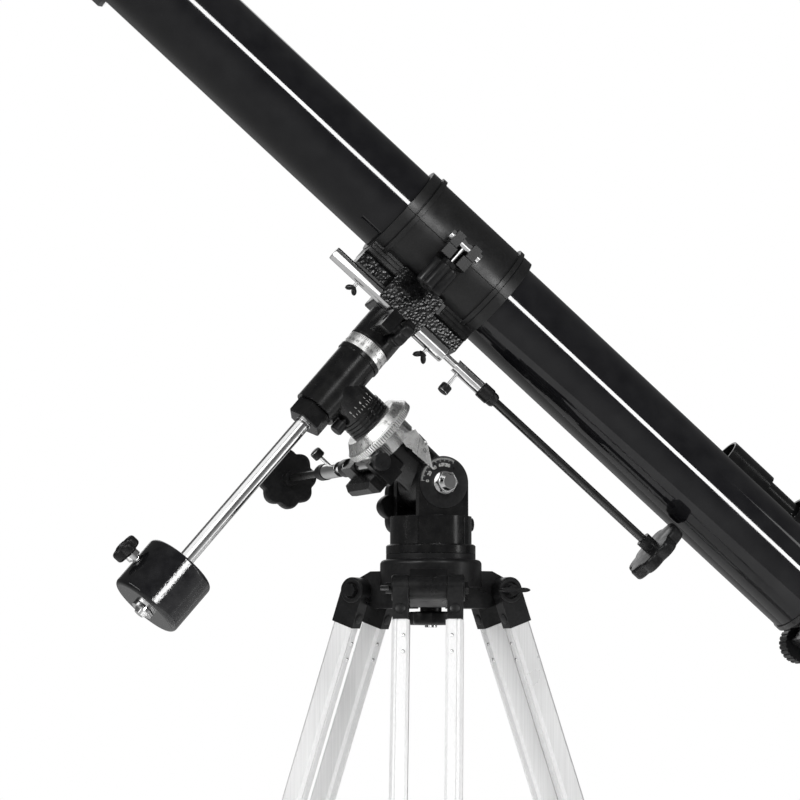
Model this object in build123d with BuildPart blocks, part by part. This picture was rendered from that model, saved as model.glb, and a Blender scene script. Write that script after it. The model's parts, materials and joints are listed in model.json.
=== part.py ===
"""A 70 mm refracting telescope on a small German equatorial mount and a folding aluminium tripod.

Millimetres, +Z up. The origin is on the floor, under the middle of the whole telescope. The mount's
meridian plane is parallel to XZ: the polar axis rises towards -X, and the tube lies along it at rest.
"""
from build123d import *
from math import cos, radians, sin
import os

os.makedirs("parts", exist_ok=True)

# Driving dimensions
latitude = 41.5          # tilt of the polar axis above the horizon, degrees
tube_turn = 5.6          # turn of the tube about the declination axis at rest, degrees
hub_top = 700.0          # height of the tripod hub's top face
axis_x, axis_y = -57.5, 14.4   # the azimuth axis, from the middle of the whole telescope
pivot_height = 63.0      # latitude pivot above the hub's top face
polar_length = 116.5     # from the latitude pivot to the declination axis
polar_offset = 2.0       # polar axis from the latitude pivot, towards the tube
tube_height = 154.5      # tube axis from the polar axis, along the declination axis
tube_r, tube_wall = 39.0, 1.5
tube_front, tube_back = 375.0, -425.0   # main tube's ends from the declination axis
cradle_half = 56.5       # half the cradle's length
shell_in, shell_out = 39.3, 43.0
split_turn = 11.0        # tilt of the cradle's parting plane about the tube, degrees
slow_y, slow_z = 15.0, 83.0   # the declination slow-motion screw, beside the declination axis and along it
leg_azimuths = {"front": -114.0, "right": 6.0, "left": 126.0}
leg_lean = 19.5          # degrees from the vertical
hinge_r, hinge_drop = 60.0, 25.0   # leg hinge: from the azimuth axis, and under the hub's top face
rail_end, leg_length = 430.0, 714.0  # along a leg from its hinge
running = 0.05           # radial clearance of a shaft in its bearing
gap = 0.3                # clearance between pieces that move past each other

# Frames
world_y = Vector(0, 1, 0)
mount = Plane(origin=(axis_x, axis_y, hub_top))
pole = Vector(-cos(radians(latitude)), 0, sin(radians(latitude)))
rise = Vector(sin(radians(latitude)), 0, cos(radians(latitude)))
pivot = mount.origin + Vector(0, 0, pivot_height)
# x towards the tube, y away from the counterweight's front, z to the celestial pole
polar = Plane(origin=pivot + rise * polar_offset, x_dir=rise, z_dir=pole)
# x to the pole, y to the front, z from the counterweight to the tube
dec = Plane(origin=pivot + pole * polar_length, x_dir=pole, z_dir=rise)
sky = pole * cos(radians(tube_turn)) + world_y * sin(radians(tube_turn))
head = Plane(origin=dec.origin, x_dir=sky, z_dir=rise)
# x up from the mount, y to the back, z along the tube to the sky
tube = Plane(origin=dec.origin + rise * tube_height, x_dir=rise, z_dir=sky)


def turned_frame(frame, angle):
    """A frame turned about its own z axis."""
    across = frame.x_dir * cos(radians(angle)) + frame.y_dir * sin(radians(angle))
    return Plane(origin=frame.origin, x_dir=across, z_dir=frame.z_dir)


def facing(frame, point, normal, across):
    """A plane at a point of a frame: its normal and its x direction are given in the frame."""
    origin = frame.from_local_coords(point)
    return Plane(
        origin=origin,
        x_dir=frame.from_local_coords(across) - frame.origin,
        z_dir=frame.from_local_coords(normal) - frame.origin,
    )


parting = turned_frame(tube, -split_turn)


def disc(plane, radius, length, mode=Mode.ADD):
    """A cylinder that stands on a plane."""
    with BuildSketch(plane) as outline:
        Circle(radius)
    extrude(outline.sketch, amount=length, mode=mode)


def block(frame, low, high, mode=Mode.ADD):
    """A box between two corners of a frame."""
    middle = [(a + b) / 2 for a, b in zip(low, high)]
    with BuildSketch(frame.offset(low[2])) as outline:
        with Locations((middle[0], middle[1])):
            Rectangle(high[0] - low[0], high[1] - low[1])
    extrude(outline.sketch, amount=high[2] - low[2], mode=mode)


def lobed(plane, radius, lobes, thickness, edge=1.5):
    """A hand knob with round lobes and scalloped hollows, its outer edges rounded."""
    lobe_r = radius * 0.30
    with BuildSketch(plane) as outline:
        Circle(radius * 0.80)
        with PolarLocations(radius - lobe_r, lobes):
            Circle(lobe_r)
    extrude(outline.sketch, amount=thickness)
    outer = faces(Select.LAST).filter_by(plane).sort_by(Axis(plane.origin, plane.z_dir))[-1]
    fillet(outer.edges(), edge)


def wing(plane, span, thickness, height):
    """Two flat ears, side by side across a screw."""
    with BuildSketch(plane) as outline:
        with Locations((-span / 4, 0), (span / 4, 0)):
            Ellipse(span / 4 + 0.5, thickness / 2)
    extrude(outline.sketch, amount=height)


def save(builder, name):
    builder.part.label = name
    export_step(builder.part, f"parts/{name}.step")


# Tripod hub
flange_r, flange_depth, collar_r, collar_top = 42.3, 23.0, 37.3, 4.6
lug_half, lug_drop, pin_r = 15.4, 40.0, 3.0


def leg_side(azimuth):
    """A vertical plane through the azimuth axis: x outwards, y up, its normal across the leg."""
    outward = Vector(cos(radians(azimuth)), sin(radians(azimuth)), 0)
    return Plane(origin=mount.origin, x_dir=outward, z_dir=outward.cross(Vector(0, 0, 1)))


with BuildPart() as tripod_hub:
    with BuildSketch(mount.offset(-flange_depth)):
        Circle(flange_r)
    extrude(amount=flange_depth)
    fillet(tripod_hub.edges().group_by(Axis.Z)[-1], 4)
    disc(mount, collar_r, collar_top)
    disc(mount.offset(-34), 30, 12)
    for azimuth in leg_azimuths.values():
        with BuildSketch(leg_side(azimuth)):
            with BuildLine():
                Polyline((18, -9), (50, -9), (hinge_r + 6, -16.5), (hinge_r + 7, -32), (46, -lug_drop),
                         (22, -lug_drop), (18, -9))
            make_face()
            with Locations((hinge_r, -hinge_drop)):
                Circle(10.5)
        extrude(amount=lug_half, both=True)
        with BuildSketch(leg_side(azimuth)):
            with Locations((hinge_r, -hinge_drop)):
                Circle(pin_r + running)
        extrude(amount=lug_half + 1, both=True, mode=Mode.SUBTRACT)
    disc(mount.offset(-36), 5.4, 45, Mode.SUBTRACT)
    disc(mount.offset(-41), 13, 10, Mode.SUBTRACT)
save(tripod_hub, "tripod_hub")

bracket_half = 28.4
with BuildPart() as leg_hinge_bolts:
    for azimuth in leg_azimuths.values():
        side = leg_side(azimuth)
        hinge = facing(side, (hinge_r, -hinge_drop, 0), (0, 0, 1), (1, 0, 0))
        disc(hinge.offset(-bracket_half - 4.4), pin_r, 2 * bracket_half + 10)
        with BuildSketch(hinge.offset(-bracket_half - 4.4)):
            RegularPolygon(5.6, 6)
        extrude(amount=4.2)
        disc(hinge.offset(bracket_half + 0.2), 4.6, 6)
        wing(hinge.offset(bracket_half + 3), 26, 4, 7)
save(leg_hinge_bolts, "leg_hinge_bolts")

# Azimuth base with its fork
seam, base_r, cheek_in, cheek_out, cheek_half = collar_top + gap, 34.0, 21.5, 28.5, 22.0
base_floor = 36.0
lock_x, lock_z = -6.6, 46.0
with BuildPart() as azimuth_base:
    disc(mount.offset(seam), collar_r, 7.6)
    chamfer(azimuth_base.edges().group_by(Axis.Z)[-1], 1.2)
    disc(mount.offset(12), base_r, base_floor - 12)
    for y in (cheek_in, -cheek_out):
        with BuildSketch(facing(mount, (0, y, 0), (0, 1, 0), (1, 0, 0))):
            with Locations((0, -(pivot_height + 12) / 2)):
                Rectangle(2 * cheek_half, pivot_height - 12)
            with Locations((0, -pivot_height)):
                Circle(cheek_half)
        extrude(amount=cheek_out - cheek_in)
    disc(facing(mount, (0, -30, pivot_height), (0, 1, 0), (1, 0, 0)), 5 + running, 60, Mode.SUBTRACT)
    disc(facing(mount, (lock_x, 20, lock_z), (0, 1, 0), (1, 0, 0)), 3 + running, 10, Mode.SUBTRACT)
    disc(mount.offset(4), 5.0, 16, Mode.SUBTRACT)
    disc(facing(mount, (28, 0, 30), (1, 0, 0), (0, 1, 0)), 5.6, 9)
save(azimuth_base, "azimuth_base")

with BuildPart() as base_bolts:
    disc(mount.offset(-56), 5, 74)
    pin = facing(mount, (0, -38, pivot_height), (0, 1, 0), (1, 0, 0))
    disc(pin, 5, 38 + cheek_out + 2)
    disc(pin.offset(38 - cheek_out - 2.6), 9.5, 2.6)
    with BuildSketch(pin.offset(38 - cheek_out - 2.6 - 6.5)):
        RegularPolygon(9.2, 6)
    extrude(amount=6.5)
    with BuildSketch(pin.offset(38 - cheek_out - 9.1)):
        Circle(7.6)
    extrude(amount=-4.6, taper=24)
    disc(pin.offset(38 + cheek_out), 8, 3.2)
save(base_bolts, "base_bolts")

with BuildPart() as azimuth_lock_knob:
    lobed(mount.offset(-54), 20, 5, 11.5)
    disc(mount.offset(-43), 9, 6)
    disc(mount.offset(-55), 5 + running, 20, Mode.SUBTRACT)
save(azimuth_lock_knob, "azimuth_lock_knob")

with BuildPart() as latitude_lock_knob:
    screw = facing(mount, (lock_x, cheek_in - 0.1, lock_z), (0, 1, 0), (1, 0, 0))
    disc(screw, 3, 15)
    disc(screw.offset(cheek_out - cheek_in + 0.4), 7, 6.2)
    lobed(screw.offset(13.4), 25, 6, 12)
save(latitude_lock_knob, "latitude_lock_knob")

# Polar axis housing
boss_half, housing_r, housing_top, ra_shaft_r = cheek_in - 0.4, 20.0, 46.0, 8.0
wheel_low, wheel_high, wheel_r, worm_r, worm_shaft_r = 46.5, 57.5, 21.5, 5.4, 3.5
worm_x, worm_z = -(wheel_r + worm_r + gap), 52.0
bearing_low, bearing_high, bearing_half = -20.0, 5.5, 8.0   # the worm's two bearings, about its axis
# x to the pole, z along the worm to the back
worm = facing(polar, (worm_x, 0, worm_z), (0, 1, 0), (0, 0, 1))
# The pointer's plate leans out, so that its tip clears the fork and its head clears the setting circle
pointer_lean, pointer_out, pointer_mid = 5.4, 32.4, 40.0
plate = Plane(
    origin=polar.from_local_coords((0, -pointer_out, pointer_mid)),
    x_dir=rise,
    z_dir=-world_y * cos(radians(pointer_lean)) - pole * sin(radians(pointer_lean)),
)
with BuildPart() as polar_housing:
    disc(facing(Plane(pivot), (0, -boss_half, 0), (0, 1, 0), (1, 0, 0)), 21.5, 2 * boss_half)
    disc(polar, housing_r, housing_top)
    block(polar, (-47, -18, 33), (-12, 38, housing_top))
    chamfer(polar_housing.faces().sort_by(Axis(polar.origin, rise))[0].edges(), 4)
    for start, end in ((-25.5, -17), (19, 41)):
        block(worm, (bearing_low, -bearing_half, start), (bearing_high, bearing_half, end))
    block(polar, (4, -38, 36), (12, -16, 44))
    block(plate, (-30, -40, 0), (30, 40, 20), Mode.SUBTRACT)
    disc(worm.offset(-40), worm_shaft_r + running, 90, Mode.SUBTRACT)
    disc(polar.offset(12), ra_shaft_r + running, 50, Mode.SUBTRACT)
    disc(facing(Plane(pivot), (0, -30, 0), (0, 1, 0), (1, 0, 0)), 5 + running, 60, Mode.SUBTRACT)
save(polar_housing, "polar_housing")

with BuildPart() as latitude_pointer:
    with BuildSketch(plate):
        with BuildLine():
            Polyline((-1, -25), (11.5, -6), (10, -5), (12, 9), (3, 14), (-1, 25), (-4, 5), (-2, -1), (-3, -1.6),
                     (-1, -25))
        make_face()
    extrude(amount=1)
save(latitude_pointer, "latitude_pointer")

coupler_from, coupler_to, ra_knob_at = 66.0, 100.0, 199.0
with BuildPart() as ra_worm_shaft:
    disc(worm.offset(-26), worm_shaft_r, coupler_from + 26)
    disc(worm.offset(-31), 6.2, 5.2)
    fillet(ra_worm_shaft.faces().sort_by(Axis(worm.origin, worm.z_dir))[0].edges(), 3)
    disc(worm.offset(-15), worm_r, 32)
    disc(worm.offset(42), 7.5, 12)
    disc(worm.offset(coupler_from), 6.6, coupler_to - coupler_from)
    chamfer(ra_worm_shaft.faces().sort_by(Axis(worm.origin, worm.z_dir))[-1].edges(), 1)
    disc(facing(worm, (5, 0, 82), (1, 0, 0), (0, 1, 0)), 1.6, 14)
    disc(facing(worm, (17, 0, 82), (1, 0, 0), (0, 1, 0)), 4.8, 7)
save(ra_worm_shaft, "ra_worm_shaft")

with BuildPart() as ra_control_rod:
    disc(worm.offset(coupler_to), 7.2, 18)
    chamfer(ra_control_rod.faces().sort_by(Axis(worm.origin, worm.z_dir))[-1].edges(), 2.5)
    disc(worm.offset(coupler_to + 18), 3.3, ra_knob_at - coupler_to - 18)
    disc(worm.offset(ra_knob_at - 9), 6.5, 9.5)
    lobed(worm.offset(ra_knob_at), 27, 6, 11, 3)
save(ra_control_rod, "ra_control_rod")

# Worm wheel, setting circle and the polar shaft
wheel_teeth = 72
with BuildPart() as ra_worm_wheel:
    with BuildSketch(polar.offset(wheel_low)):
        Circle(wheel_r)
        Circle(ra_shaft_r + running, mode=Mode.SUBTRACT)
        with PolarLocations(wheel_r, wheel_teeth):
            Rectangle(2, 0.9, mode=Mode.SUBTRACT)
    extrude(amount=wheel_high - wheel_low)
save(ra_worm_wheel, "ra_worm_wheel")

circle_low, circle_high, circle_r, spigot_r = 60.0, 74.0, 33.0, 12.0
neck_low = circle_high + 0.5
with BuildPart() as ra_setting_circle:
    with BuildSketch(Plane(origin=polar.origin, x_dir=rise, z_dir=-world_y)):
        with BuildLine():
            Polyline((spigot_r + running, circle_low), (circle_r, circle_low), (circle_r, circle_low + 6.5),
                     (circle_r - 1.4, circle_low + 7.5), (26, circle_high), (spigot_r + running, circle_high),
                     (spigot_r + running, circle_low))
        make_face()
    revolve(axis=Axis(polar.origin, pole))
save(ra_setting_circle, "ra_setting_circle")

with BuildPart() as ra_shaft:
    disc(polar.offset(13), ra_shaft_r, neck_low - 13)
save(ra_shaft, "ra_shaft")

# Declination housing: a tee whose neck turns on the polar axis
neck_r, dec_r, dec_low, dec_high = 18.4, 18.7, -23.5, 36.0
dec_shaft_r = 7.0
ring_low, ring_high = 36.3, 47.7
with BuildPart() as declination_housing:
    disc(polar.offset(neck_low), neck_r, polar_length - neck_low)
    for step in range(4):
        disc(polar.offset(neck_low + 3.4 * step), neck_r + 1.2, 1.8)
    disc(polar.offset(wheel_high + 0.4), spigot_r, neck_low - wheel_high)
    disc(dec.offset(dec_low), dec_r, dec_high - dec_low)
    disc(dec.offset(dec_high - 4), dec_r + 1, 4)
    disc(dec.offset(dec_high), spigot_r, ring_high - dec_high + 0.2)
    disc(polar.offset(wheel_high), ra_shaft_r, neck_low - wheel_high, Mode.SUBTRACT)
    disc(dec.offset(dec_low - 1), dec_shaft_r + running, 80, Mode.SUBTRACT)
    disc(facing(polar, (-neck_r + 4, -6, 93), (-1, 0, 0), (0, 0, 1)), 2.5 + running, 10, Mode.SUBTRACT)
save(declination_housing, "declination_housing")

with BuildPart() as ra_lock_knob:
    stem = facing(polar, (-neck_r + 4, -6, 93), (-1, 0, 0), (0, 0, 1))
    disc(stem, 2.5, 9)
    disc(stem.offset(5.4), 5.5, 9)
    chamfer(ra_lock_knob.faces().sort_by(Axis(stem.origin, stem.z_dir))[-1].edges(), 1)
save(ra_lock_knob, "ra_lock_knob")

with BuildPart() as dec_setting_circle:
    disc(dec.offset(ring_low), 19, ring_high - ring_low)
    disc(dec.offset(ring_low - 1), spigot_r + running, 20, Mode.SUBTRACT)
save(dec_setting_circle, "dec_setting_circle")

# Tangent collar: clamps on the declination axis, and its lug stands in the block's pocket
collar_low, collar_high, block_low = 48.2, 76.4, 80.0
with BuildPart() as tangent_collar:
    disc(dec.offset(collar_low), 19.4, collar_high - collar_low)
    chamfer(tangent_collar.faces().sort_by(Axis(dec.origin, rise))[0].edges(), 1)
    block(dec, (2, 15, 56), (13, 40.5, 74))
    disc(dec.offset(collar_low - 1), dec_shaft_r + running, 40, Mode.SUBTRACT)
    disc(facing(dec, (14, 33.6, 65), (-1, 0, 0), (0, 0, 1)), 3 + running, 14, Mode.SUBTRACT)
    block(head, (-3.5, 9.5, collar_high - 1), (3.5, 19.5, 88.6))
save(tangent_collar, "tangent_collar")

with BuildPart() as dec_lock_knob:
    stem = facing(dec, (12.8, 33.6, 65), (-1, 0, 0), (0, 0, 1))
    disc(stem, 3, 16)
    disc(stem.offset(11.2), 5, 4)
    lobed(stem.offset(14.5), 13.5, 5, 10)
save(dec_lock_knob, "dec_lock_knob")

# Declination shaft, block and counterweight rod
shaft_top = 99.0
with BuildPart() as dec_shaft:
    disc(dec.offset(-30), dec_shaft_r, shaft_top + 30)
save(dec_shaft, "dec_shaft")

nut_low, nut_high = -39.0, -24.0
with BuildPart() as shaft_end_nut:
    with BuildSketch(dec.offset(nut_low)):
        RegularPolygon(16.4, 6)
    extrude(amount=nut_high - nut_low)
    chamfer(shaft_end_nut.faces().sort_by(Axis(dec.origin, rise))[0].edges(), 1)
    disc(dec.offset(nut_low - 1), dec_shaft_r, 20, Mode.SUBTRACT)
save(shaft_end_nut, "shaft_end_nut")

block_back, block_front, block_side, block_high = -21.0, 24.0, 22.5, 114.8
bush_start = block_back + 1
rail_half, rail_low = 17.0, 104.0
spring_r, bush_r, screw_r = 6.0, 7.6, 3.0
with BuildPart() as dec_block:
    block(head, (block_back, -block_side, block_low), (block_front, block_side, block_high))
    fillet(dec_block.edges().filter_by(lambda e: abs(e.tangent_at(0).dot(world_y)) > 0.9), 2)
    block(head, (-cradle_half + 0.5, -13, 92), (cradle_half - 0.5, 13, rail_low - 0.1))
    block(head, (-60, -rail_half - 0.1, rail_low), (60, rail_half + 0.1, 130), Mode.SUBTRACT)
    block(head, (-6.5, 8, block_low - 1), (6.5, 20.4, 90), Mode.SUBTRACT)
    disc(head.offset(block_low - 1), dec_shaft_r, shaft_top - block_low + 1, Mode.SUBTRACT)
    disc(facing(head, (0, slow_y, slow_z), (1, 0, 0), (0, 0, 1)), spring_r, 40, Mode.SUBTRACT)
    disc(facing(head, (bush_start, slow_y, slow_z), (-1, 0, 0), (0, 0, 1)), bush_r, 20, Mode.SUBTRACT)
    disc(facing(head, (0, slow_y, slow_z), (-1, 0, 0), (0, 0, 1)), screw_r + running, 40, Mode.SUBTRACT)
save(dec_block, "dec_block")

spring_end = 75.5
with BuildPart() as spring_tube:
    lower = facing(head, (9, slow_y, slow_z), (1, 0, 0), (0, 0, 1))
    disc(lower, spring_r, spring_end - 9)
    chamfer(spring_tube.faces().sort_by(Axis(head.origin, sky))[-1].edges(), 1.5)
    disc(lower.offset(-1), 4.2, spring_end - 14, Mode.SUBTRACT)
    disc(facing(head, (5.6, slow_y, slow_z), (1, 0, 0), (0, 0, 1)), 4, 12)
    disc(facing(head, (17, slow_y, slow_z), (1, 0, 0), (0, 0, 1)), 1.6, 41)
    neck = facing(head, (44, slow_y, slow_z - spring_r + 1), (0, 0, -1), (1, 0, 0))
    disc(neck, 1.4, 7)
    wing(neck.offset(6), 13, 3, 7)
save(spring_tube, "spring_tube")

bush_end = -51.0
with BuildPart() as screw_bush:
    start = facing(head, (bush_start, slow_y, slow_z), (-1, 0, 0), (0, 0, 1))
    disc(start, bush_r, bush_start - bush_end)
    chamfer(screw_bush.faces().sort_by(Axis(head.origin, sky))[0].edges(), 1)
    disc(start.offset(-1), screw_r + running, 60, Mode.SUBTRACT)
    neck = facing(head, (-36, slow_y, slow_z - bush_r + 1), (0, 0, -1), (1, 0, 0))
    disc(neck, 1.8, 6)
    wing(neck.offset(5), 20, 4.5, 5)
save(screw_bush, "screw_bush")

knob_at = -290.0
dec_coupler_from, dec_coupler_to = -63.0, -92.0
with BuildPart() as dec_screw:
    disc(facing(head, (-7, slow_y, slow_z), (-1, 0, 0), (0, 0, 1)), screw_r, 58)
    coupler = facing(head, (dec_coupler_from, slow_y, slow_z), (-1, 0, 0), (0, 0, 1))
    disc(coupler, 5.8, dec_coupler_from - dec_coupler_to)
    chamfer(dec_screw.faces().sort_by(Axis(head.origin, sky))[0].edges(), 0.8)
    thumb = facing(head, (dec_coupler_from - 6, slow_y, slow_z - 5), (0, 0, -1), (1, 0, 0))
    disc(thumb, 1.5, 15)
    disc(thumb.offset(13), 4.6, 7)
save(dec_screw, "dec_screw")

with BuildPart() as dec_control_rod:
    sleeve = facing(head, (dec_coupler_to, slow_y, slow_z), (-1, 0, 0), (0, 0, 1))
    disc(sleeve, 7, 17)
    chamfer(dec_control_rod.faces().sort_by(Axis(head.origin, sky))[0].edges(), 2.5)
    disc(sleeve.offset(17), 3.7, dec_coupler_to - knob_at - 17)
    disc(sleeve.offset(dec_coupler_to - knob_at - 12), 6.5, 12.5)
    lobed(sleeve.offset(dec_coupler_to - knob_at), 28.5, 6, 11, 3)
save(dec_control_rod, "dec_control_rod")

rod_r, rod_low = 6.5, -243.4
with BuildPart() as counterweight_rod:
    disc(dec.offset(rod_low), rod_r, -30.2 - rod_low)
    disc(dec.offset(nut_low), dec_shaft_r, -30.2 - nut_low)
    disc(dec.offset(rod_low - 3), 9.5, 3)
    with BuildSketch(dec.offset(rod_low - 3)):
        Circle(6)
    extrude(amount=-3.4, taper=30)
save(counterweight_rod, "counterweight_rod")

weight_r, weight_low, weight_high = 31.0, -243.0, -195.0
with BuildPart() as counterweight:
    disc(dec.offset(weight_low), weight_r, weight_high - weight_low)
    fillet(counterweight.edges().filter_by(GeomType.CIRCLE), 4)
    disc(dec.offset(weight_low - 1), rod_r + running, 60, Mode.SUBTRACT)
    disc(facing(dec, (6, 0, -218), (1, 0, 0), (0, 0, 1)), 4 + running, 30, Mode.SUBTRACT)
save(counterweight, "counterweight")

with BuildPart() as counterweight_screw:
    stem = facing(dec, (rod_r + 0.5, 0, -218), (1, 0, 0), (0, 0, 1))
    disc(stem, 4, 30)
    disc(stem.offset(25.6), 6, 6)
    lobed(stem.offset(31), 12, 4, 9.5)
save(counterweight_screw, "counterweight_screw")

# Cradle: two shells about the tube, hinged at the back
hinge_x, hinge_y = -0.4, 48.0
ear_in, ear_out, ear_y, ear_end = 5.0, 13.0, 54.0, 60.5
shell_edge = 0.15


def shell(side):
    """Half of the ringed sleeve about the tube: side is 1 above the parting plane and -1 below it."""
    disc(parting.offset(-cradle_half), shell_out, 2 * cradle_half)
    for z in (-46.5, 42.5):
        disc(parting.offset(z), 45.8, 4)
    for z in (-cradle_half, cradle_half - 9):
        disc(parting.offset(z), 43.8, 9)
    disc(parting.offset(-60), shell_in, 120, Mode.SUBTRACT)
    low, high = (-60, shell_edge) if side > 0 else (-shell_edge, 60)
    block(parting, (low, -60, -60), (high, 60, 60), Mode.SUBTRACT)


def knuckle(z, length):
    """A barrel about the cradle's hinge pin, joined to the shell beside it."""
    disc(facing(parting, (hinge_x, hinge_y, z), (0, 0, 1), (1, 0, 0)), 4.6, length)


with BuildPart() as cradle_lower:
    shell(-1)
    for z in (-30, 12):
        knuckle(z, 18)
        block(parting, (-7, 41, z), (hinge_x - 1, hinge_y - 1, z + 18))
    for z in (-ear_out, 3.4):
        block(parting, (-10.5, -ear_end, z), (-shell_edge, -41.5, z + ear_out - 3.4))
    block(tube, (rail_low - tube_height, -rail_half, -cradle_half + 0.5), (-37.8, rail_half, cradle_half - 0.5))
    disc(tube.offset(-60), shell_in, 120, Mode.SUBTRACT)
    disc(facing(parting, (hinge_x, hinge_y, -40), (0, 0, 1), (1, 0, 0)), 2, 80, Mode.SUBTRACT)
save(cradle_lower, "cradle_lower")

with BuildPart() as cradle_upper:
    shell(1)
    knuckle(-11.6, 23.2)
    block(parting, (1, 41, -11.6), (6.5, hinge_y - 1, 11.6))
    for z in (-ear_out, ear_in):
        block(parting, (shell_edge, -ear_end, z), (13, -41.5, z + ear_out - ear_in))
    disc(facing(parting, (hinge_x, hinge_y, -40), (0, 0, 1), (1, 0, 0)), 2 + running, 80, Mode.SUBTRACT)
    block(parting, (-3, 40, -32), (shell_edge + 4.4, 53, -11.8), Mode.SUBTRACT)
    block(parting, (-3, 40, 11.8), (shell_edge + 4.4, 53, 32), Mode.SUBTRACT)
    disc(facing(parting, (7, -ear_y, -17), (0, 0, 1), (1, 0, 0)), 4.4, 34, Mode.SUBTRACT)
save(cradle_upper, "cradle_upper")

with BuildPart() as clamp_barrel:
    disc(facing(parting, (7, -ear_y, -16), (0, 0, 1), (1, 0, 0)), 4.4, 32)
    disc(facing(parting, (0, -ear_y, 0), (1, 0, 0), (0, 0, 1)), 3.3, 14, Mode.SUBTRACT)
save(clamp_barrel, "clamp_barrel")

with BuildPart() as clamp_knob:
    disc(facing(parting, (8.3, -ear_y, 0), (-1, 0, 0), (0, 0, 1)), 2.4, 20)
    grip = facing(parting, (-10.9, -ear_y, 0), (-1, 0, 0), (0, 0, 1))
    disc(grip, 7, 4.5)
    lobed(grip.offset(4), 13, 5, 26, 2)
save(clamp_knob, "clamp_knob")

with BuildPart() as cradle_hinge_pin:
    disc(facing(parting, (hinge_x, hinge_y, -31.5), (0, 0, 1), (1, 0, 0)), 2, 63)
save(cradle_hinge_pin, "cradle_hinge_pin")

# Optical tube
with BuildPart() as main_tube:
    disc(tube.offset(tube_back), tube_r, tube_front - tube_back)
    disc(tube.offset(tube_back - 1), tube_r - tube_wall, tube_front - tube_back + 2, Mode.SUBTRACT)
save(main_tube, "main_tube")

section = Plane(origin=tube.origin, x_dir=rise, z_dir=-tube.y_dir)  # x across the tube, y along it


def turned(points):
    """A solid of revolution about the tube's axis, from the outline of one side of its section."""
    with BuildSketch(section) as outline:
        with BuildLine():
            Polyline(*points, points[0])
        make_face()
    revolve(outline.sketch, axis=Axis(tube.origin, sky))


shield_r, shield_front = 46.0, 485.0
with BuildPart() as dew_shield:
    turned([(tube_r + 0.1, 352), (shield_r - 2, 352), (shield_r, 355), (shield_r, shield_front - 1),
            (shield_r - 1, shield_front), (shield_r - 2, shield_front), (shield_r - 2, 362),
            (tube_r + 0.1, 362)])
save(dew_shield, "dew_shield")

lens_r = 35.0
with BuildPart() as lens_cell:
    turned([(37.4, 360), (37.4, tube_front), (shield_r - 2.1, tube_front), (shield_r - 2.1, 398), (34, 398),
            (34, 395.5), (lens_r + 0.1, 395.5), (lens_r + 0.1, 380), (34, 378), (34, 360)])
save(lens_cell, "lens_cell")


def lens(back, front, back_bulge, front_bulge):
    """One element of the objective: positive bulges stand out of it, negative ones are hollow."""
    with BuildSketch(section) as outline:
        with BuildLine():
            back_arc = SagittaArc((0, back - back_bulge), (lens_r, back), 0.25 * back_bulge)
            front_arc = SagittaArc((0, front + front_bulge), (lens_r, front), -0.25 * front_bulge)
            Line(back_arc @ 1, front_arc @ 1)
            Line(back_arc @ 0, front_arc @ 0)
        make_face()
    revolve(outline.sketch, axis=Axis(tube.origin, sky))


with BuildPart() as objective_lens:
    lens(389, 392, 2, 2.4)
    lens(380.4, 388.6, 1, -2)
save(objective_lens, "objective_lens")

draw_r, draw_back, focus_z = 18.0, -525.0, -459.0
pinion_r = 5.0
rack_low = -20.6
pinion_x = rack_low - 0.2 - pinion_r
with BuildPart() as focuser_body:
    turned([(draw_r + running, -408), (37.4, -408), (37.4, tube_back), (tube_r + 1, tube_back),
            (tube_r + 1, -430), (26.5, -440), (24, -478), (draw_r + running, -478)])
    block(tube, (-34, -24, -472), (-17, 24, -447))
    block(tube, (rack_low - 0.5, -4.5, -490), (-10, 4.5, -400), Mode.SUBTRACT)
    disc(facing(tube, (pinion_x, -30, focus_z), (0, 1, 0), (1, 0, 0)), 3 + running, 60, Mode.SUBTRACT)
    disc(facing(tube, (pinion_x, -5, focus_z), (0, 1, 0), (1, 0, 0)), pinion_r + 0.6, 10, Mode.SUBTRACT)
    disc(tube.offset(-500), draw_r + running, 120, Mode.SUBTRACT)
save(focuser_body, "focuser_body")

rack_pitch = 2.6
with BuildPart() as drawtube:
    disc(tube.offset(draw_back), draw_r, 150)
    block(tube, (rack_low, -4, -510), (-16, 4, -380))
    for tooth in range(49):
        z = -508 + rack_pitch * tooth
        block(tube, (rack_low - 1, -5, z), (rack_low + 1.4, 5, z + rack_pitch / 2), Mode.SUBTRACT)
    disc(tube.offset(draw_back), 21.5, 11)
    disc(tube.offset(draw_back - 1), draw_r - 2, 160, Mode.SUBTRACT)
    disc(facing(tube, (20, 0, draw_back + 5.5), (1, 0, 0), (0, 0, 1)), 2, 9)
    disc(facing(tube, (26, 0, draw_back + 5.5), (1, 0, 0), (0, 0, 1)), 4, 6)
save(drawtube, "drawtube")

with BuildPart() as focus_shaft:
    disc(facing(tube, (pinion_x, -41, focus_z), (0, 1, 0), (1, 0, 0)), 3, 82)
    with BuildSketch(facing(tube, (pinion_x, -4, focus_z), (0, 1, 0), (1, 0, 0))):
        Circle(pinion_r)
        with PolarLocations(pinion_r, 12):
            Circle(0.65, mode=Mode.SUBTRACT)
    extrude(amount=8)
save(focus_shaft, "focus_shaft")

with BuildPart() as focus_knobs:
    for start in (-42, 28):
        with BuildSketch(facing(tube, (pinion_x, start, focus_z), (0, 1, 0), (1, 0, 0))):
            Circle(17)
            with PolarLocations(17, 24):
                Circle(0.9, mode=Mode.SUBTRACT)
            Circle(3, mode=Mode.SUBTRACT)
        extrude(amount=14)
save(focus_knobs, "focus_knobs")

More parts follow.
